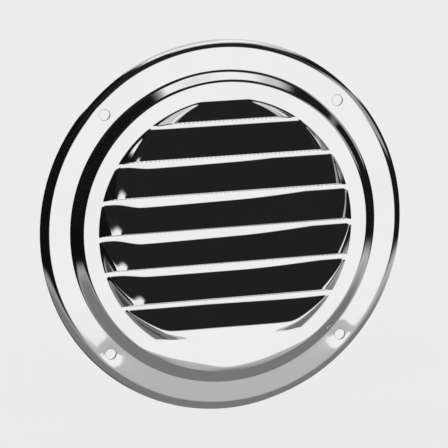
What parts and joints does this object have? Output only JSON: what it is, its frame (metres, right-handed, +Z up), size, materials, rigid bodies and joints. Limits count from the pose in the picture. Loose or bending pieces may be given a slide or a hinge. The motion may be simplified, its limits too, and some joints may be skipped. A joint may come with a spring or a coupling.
{
  "type": "round louvred vent",
  "caption": "Round pressed vent cover with downward louvres in a raised field, a flange with screw holes, an insect screen behind and a gasket.",
  "frame": {"origin": "centre of the back seat, on the vent's axis, in the plane of the cover's cut back edge", "axes": "+Z up as mounted on a bulkhead, +X to the right seen from the front, -Y out of the front face"},
  "size_m": [0.127, 0.0075, 0.127],
  "materials": {
    "polished_stainless": "mirror-polished stainless sheet, with faint haze and fine wipe marks",
    "screen_wire": "plain drawn stainless wire, woven",
    "rim_strip": "dull mill-finish stainless strip",
    "gasket_rubber": "matt black moulded rubber"
  },
  "bodies": {
    "root": {"louvre_cover": "polished_stainless", "insect_screen": "screen_wire", "screen_rim": "rim_strip", "gasket": "gasket_rubber"}
  },
  "joints": []
}
